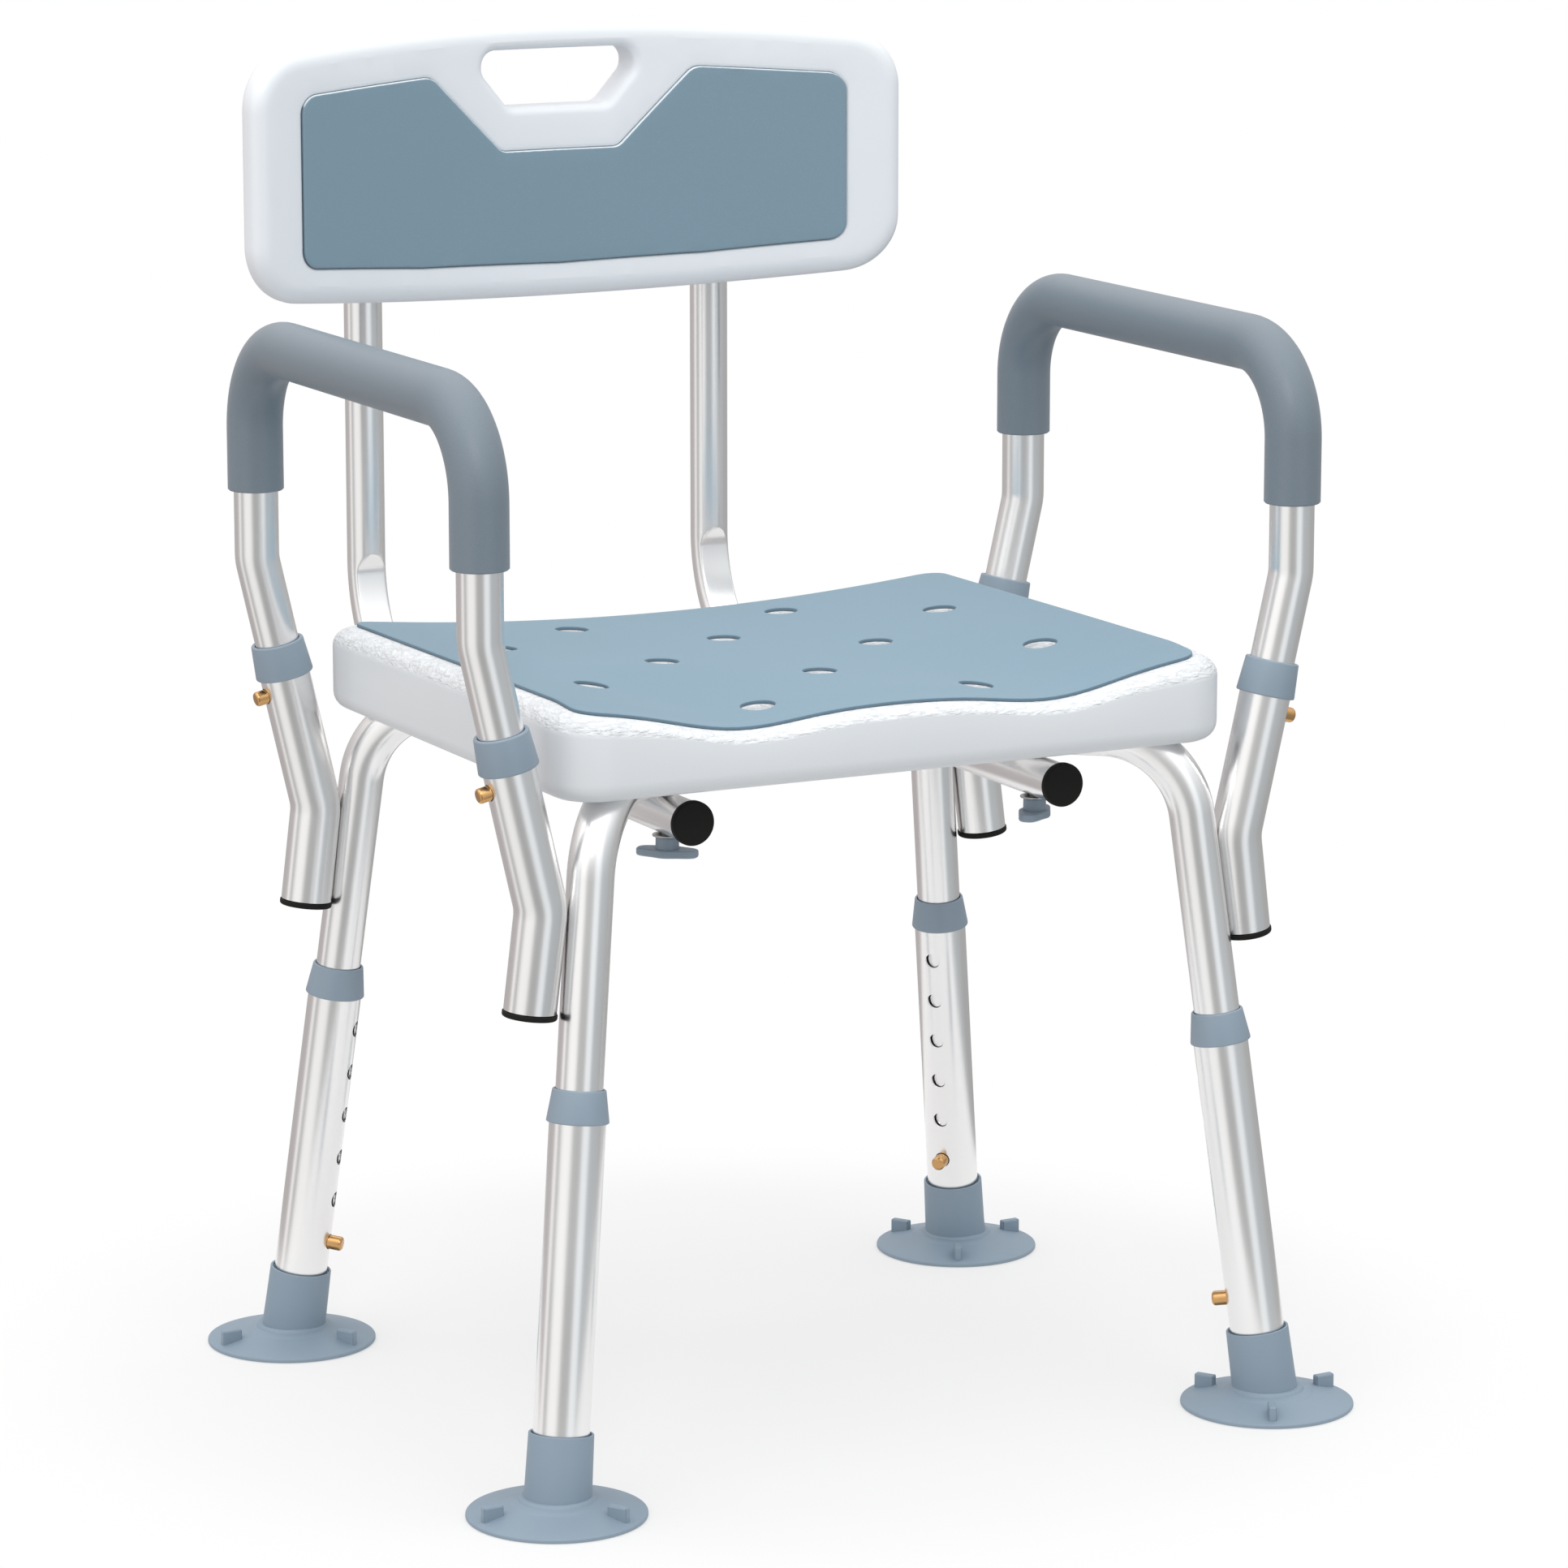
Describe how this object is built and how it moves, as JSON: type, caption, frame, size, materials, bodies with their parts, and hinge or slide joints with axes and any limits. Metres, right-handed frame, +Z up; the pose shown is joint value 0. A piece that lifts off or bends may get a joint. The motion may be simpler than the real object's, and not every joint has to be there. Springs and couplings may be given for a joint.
{
  "type": "shower chair",
  "caption": "Bathroom seat with a curved backrest, padded lift-off armrests and splayed legs that extend in steps on wide cupped feet.",
  "frame": {"origin": "on the floor, under the middle of the whole chair's box", "axes": "+Z up, +Y from the front edge of the seat to the backrest, +X to the right as seen from the front"},
  "size_m": [0.5284, 0.5441, 0.7395],
  "materials": {
    "shell": "white blow-moulded plastic, fine leather grain on the upper edge",
    "seat_pad": "matte closed-cell foam, blue-grey",
    "backrest_pad": "matte closed-cell foam, darker blue-grey",
    "grip": "matte foam sleeve, slightly speckled",
    "fittings": "moulded blue-grey plastic",
    "feet": "moulded blue-grey rubber",
    "caps": "black moulded plastic",
    "buttons": "polished brass-coloured metal",
    "steel": "spring steel and zinc-plated steel",
    "tubes": "satin polished aluminium tube"
  },
  "bodies": {
    "root": {"seat_shell": "shell", "seat_pad": "seat_pad", "leg_frame_fl_rr": "tubes", "leg_frame_fr_rl": "tubes", "backrest_shell": "shell", "backrest_pad": "backrest_pad", "arm_socket_fl": "tubes", "arm_socket_cap_fl": "caps", "arm_collar_fl": "fittings", "leg_spring_fl": "steel", "arm_socket_fr": "tubes", "arm_socket_cap_fr": "caps", "arm_collar_fr": "fittings", "leg_spring_fr": "steel", "arm_socket_rl": "tubes", "arm_socket_cap_rl": "caps", "arm_collar_rl": "fittings", "leg_spring_rl": "steel", "arm_socket_rr": "tubes", "arm_socket_cap_rr": "caps", "arm_collar_rr": "fittings", "leg_spring_rr": "steel", "backrest_tube_left": "tubes", "backrest_tube_cap_left": "caps", "backrest_tube_right": "tubes", "backrest_tube_cap_right": "caps"},
    "leg_fl": {"leg_tube_fl": "tubes", "leg_collar_fl": "fittings", "foot_fl": "feet"},
    "leg_button_fl": {"leg_button_fl": "buttons"},
    "leg_fr": {"leg_tube_fr": "tubes", "leg_collar_fr": "fittings", "foot_fr": "feet"},
    "leg_button_fr": {"leg_button_fr": "buttons"},
    "leg_rl": {"leg_tube_rl": "tubes", "leg_collar_rl": "fittings", "foot_rl": "feet"},
    "leg_button_rl": {"leg_button_rl": "buttons"},
    "leg_rr": {"leg_tube_rr": "tubes", "leg_collar_rr": "fittings", "foot_rr": "feet"},
    "leg_button_rr": {"leg_button_rr": "buttons"},
    "arm_left": {"arm_tube_left": "tubes", "arm_grip_left": "grip", "arm_spring_fl": "steel", "arm_spring_rl": "steel"},
    "arm_button_fl": {"arm_button_fl": "buttons"},
    "arm_button_rl": {"arm_button_rl": "buttons"},
    "clamp_washer_left": {"clamp_washer_left": "steel"},
    "clamp_knob_left": {"clamp_knob_left": "fittings", "clamp_bolt_left": "steel"},
    "arm_right": {"arm_tube_right": "tubes", "arm_grip_right": "grip", "arm_spring_fr": "steel", "arm_spring_rr": "steel"},
    "arm_button_fr": {"arm_button_fr": "buttons"},
    "arm_button_rr": {"arm_button_rr": "buttons"},
    "clamp_washer_right": {"clamp_washer_right": "steel"},
    "clamp_knob_right": {"clamp_knob_right": "fittings", "clamp_bolt_right": "steel"}
  },
  "joints": [
    {"name": "leg_extend_fl", "type": "slide", "parent": "root", "child": "leg_fl", "axis": [-0.1063, -0.0882, -0.9904], "range_m": [0, 0.127], "deforming": ["leg_button_fl", "leg_spring_fl"]},
    {"name": "leg_button_press_fl", "type": "slide", "parent": "root", "child": "leg_button_fl", "axis": [-0.7621, -0.6325, 0.1382], "range_m": [0, 0.0118], "stiffness_N_per_m": 600, "springref_m": -0.004},
    {"name": "leg_extend_fr", "type": "slide", "parent": "root", "child": "leg_fr", "axis": [0.1063, -0.0882, -0.9904], "range_m": [0, 0.127], "deforming": ["leg_button_fr", "leg_spring_fr"]},
    {"name": "leg_button_press_fr", "type": "slide", "parent": "root", "child": "leg_button_fr", "axis": [0.7621, -0.6325, 0.1382], "range_m": [0, 0.0118], "stiffness_N_per_m": 600, "springref_m": -0.004},
    {"name": "leg_extend_rl", "type": "slide", "parent": "root", "child": "leg_rl", "axis": [-0.1063, 0.0882, -0.9904], "range_m": [0, 0.127], "deforming": ["leg_button_rl", "leg_spring_rl"]},
    {"name": "leg_button_press_rl", "type": "slide", "parent": "root", "child": "leg_button_rl", "axis": [-0.7621, 0.6325, 0.1382], "range_m": [0, 0.0118], "stiffness_N_per_m": 600, "springref_m": -0.004},
    {"name": "leg_extend_rr", "type": "slide", "parent": "root", "child": "leg_rr", "axis": [0.1063, 0.0882, -0.9904], "range_m": [0, 0.127], "deforming": ["leg_button_rr", "leg_spring_rr"]},
    {"name": "leg_button_press_rr", "type": "slide", "parent": "root", "child": "leg_button_rr", "axis": [0.7621, 0.6325, 0.1382], "range_m": [0, 0.0118], "stiffness_N_per_m": 600, "springref_m": -0.004},
    {"name": "arm_lift_left", "type": "slide", "parent": "root", "child": "arm_left", "axis": [-0.2257, 0, 0.9742], "range_m": [0, 0.085], "deforming": ["arm_button_fl", "arm_spring_fl", "arm_button_rl", "arm_spring_rl"]},
    {"name": "arm_button_press_fl", "type": "slide", "parent": "arm_left", "child": "arm_button_fl", "axis": [0.9742, 0, 0.2257], "range_m": [0, 0.0102], "stiffness_N_per_m": 600, "springref_m": -0.004},
    {"name": "arm_button_press_rl", "type": "slide", "parent": "arm_left", "child": "arm_button_rl", "axis": [0.9742, 0, 0.2257], "range_m": [0, 0.0102], "stiffness_N_per_m": 600, "springref_m": -0.004},
    {"name": "clamp_travel_left", "type": "slide", "parent": "root", "child": "clamp_washer_left", "axis": [0, 0, 1], "range_m": [-0.0025, 0]},
    {"name": "clamp_turn_left", "type": "hinge", "parent": "clamp_washer_left", "child": "clamp_knob_left", "pos_m": [-0.1118, -0.1438, 0.33], "axis": [0, 0, 1], "range_deg": [-720, 0]},
    {"name": "arm_lift_right", "type": "slide", "parent": "root", "child": "arm_right", "axis": [0.2257, 0, 0.9742], "range_m": [0, 0.085], "deforming": ["arm_button_fr", "arm_spring_fr", "arm_button_rr", "arm_spring_rr"]},
    {"name": "arm_button_press_fr", "type": "slide", "parent": "arm_right", "child": "arm_button_fr", "axis": [-0.9742, 0, 0.2257], "range_m": [0, 0.0102], "stiffness_N_per_m": 600, "springref_m": -0.004},
    {"name": "arm_button_press_rr", "type": "slide", "parent": "arm_right", "child": "arm_button_rr", "axis": [-0.9742, 0, 0.2257], "range_m": [0, 0.0102], "stiffness_N_per_m": 600, "springref_m": -0.004},
    {"name": "clamp_travel_right", "type": "slide", "parent": "root", "child": "clamp_washer_right", "axis": [0, 0, 1], "range_m": [-0.0025, 0]},
    {"name": "clamp_turn_right", "type": "hinge", "parent": "clamp_washer_right", "child": "clamp_knob_right", "pos_m": [0.1118, -0.1438, 0.33], "axis": [0, 0, 1], "range_deg": [-720, 0]}
  ],
  "couplings": [
    {"joint": "clamp_turn_left", "follows": "clamp_travel_left", "rad_per_m": 5026.5},
    {"joint": "clamp_turn_right", "follows": "clamp_travel_right", "rad_per_m": 5026.5}
  ]
}
